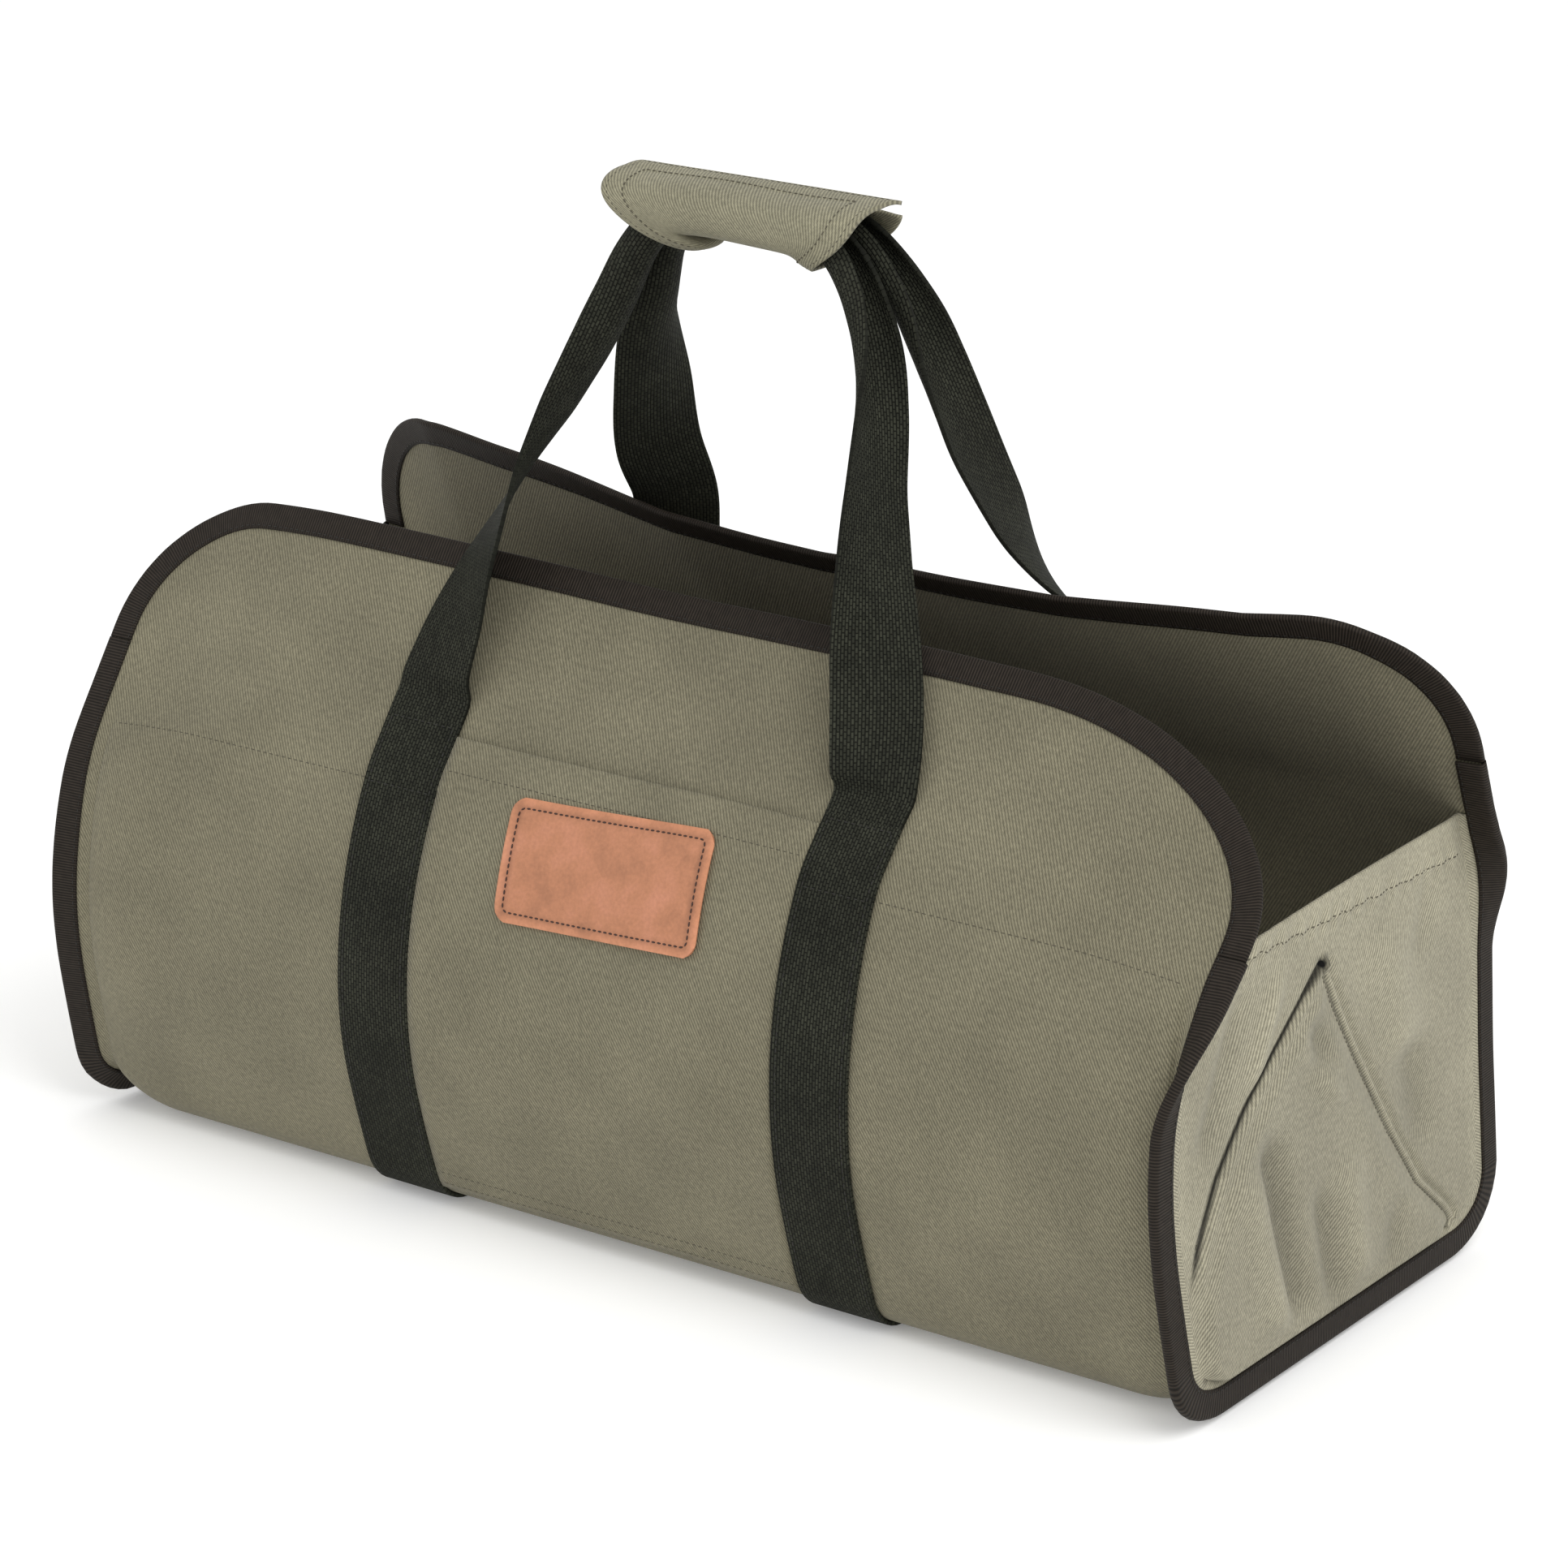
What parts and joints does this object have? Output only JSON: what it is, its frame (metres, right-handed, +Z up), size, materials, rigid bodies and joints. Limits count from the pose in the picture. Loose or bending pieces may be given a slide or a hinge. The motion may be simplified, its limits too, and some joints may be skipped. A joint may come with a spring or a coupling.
{
  "type": "canvas log carrier",
  "caption": "Long open-topped canvas bag for carrying firewood, with webbing handles joined in a wrapped grip, taped edges, creased end panels and a front pocket.",
  "frame": {"origin": "middle of the bag's footprint, on the ground under the webbing it rests on", "axes": "+Z up, +X along the bag to its right end as seen from the front, -Y to the front with the pocket"},
  "size_m": [0.6254, 0.2838, 0.4646],
  "materials": {
    "canvas": "waxed cotton canvas, olive grey, fine twill",
    "end_canvas": "the same canvas, a lighter tone on the end panels",
    "grip_canvas": "turned and top-stitched canvas",
    "webbing": "heavy woven cotton webbing, near black",
    "binding_tape": "ribbed grosgrain tape, near black",
    "leather": "matt tan leather with a raised edge"
  },
  "bodies": {
    "root": {"main_panel": "canvas", "end_panel_right": "end_canvas", "end_panel_left": "end_canvas", "end_binding_right": "binding_tape", "end_binding_left": "binding_tape", "top_binding_front": "binding_tape", "top_binding_back": "binding_tape", "webbing_right": "webbing", "webbing_left": "webbing", "handle_front": "webbing", "handle_back": "webbing", "front_pocket": "canvas", "leather_patch": "leather", "grip_wrap": "grip_canvas"}
  },
  "joints": []
}
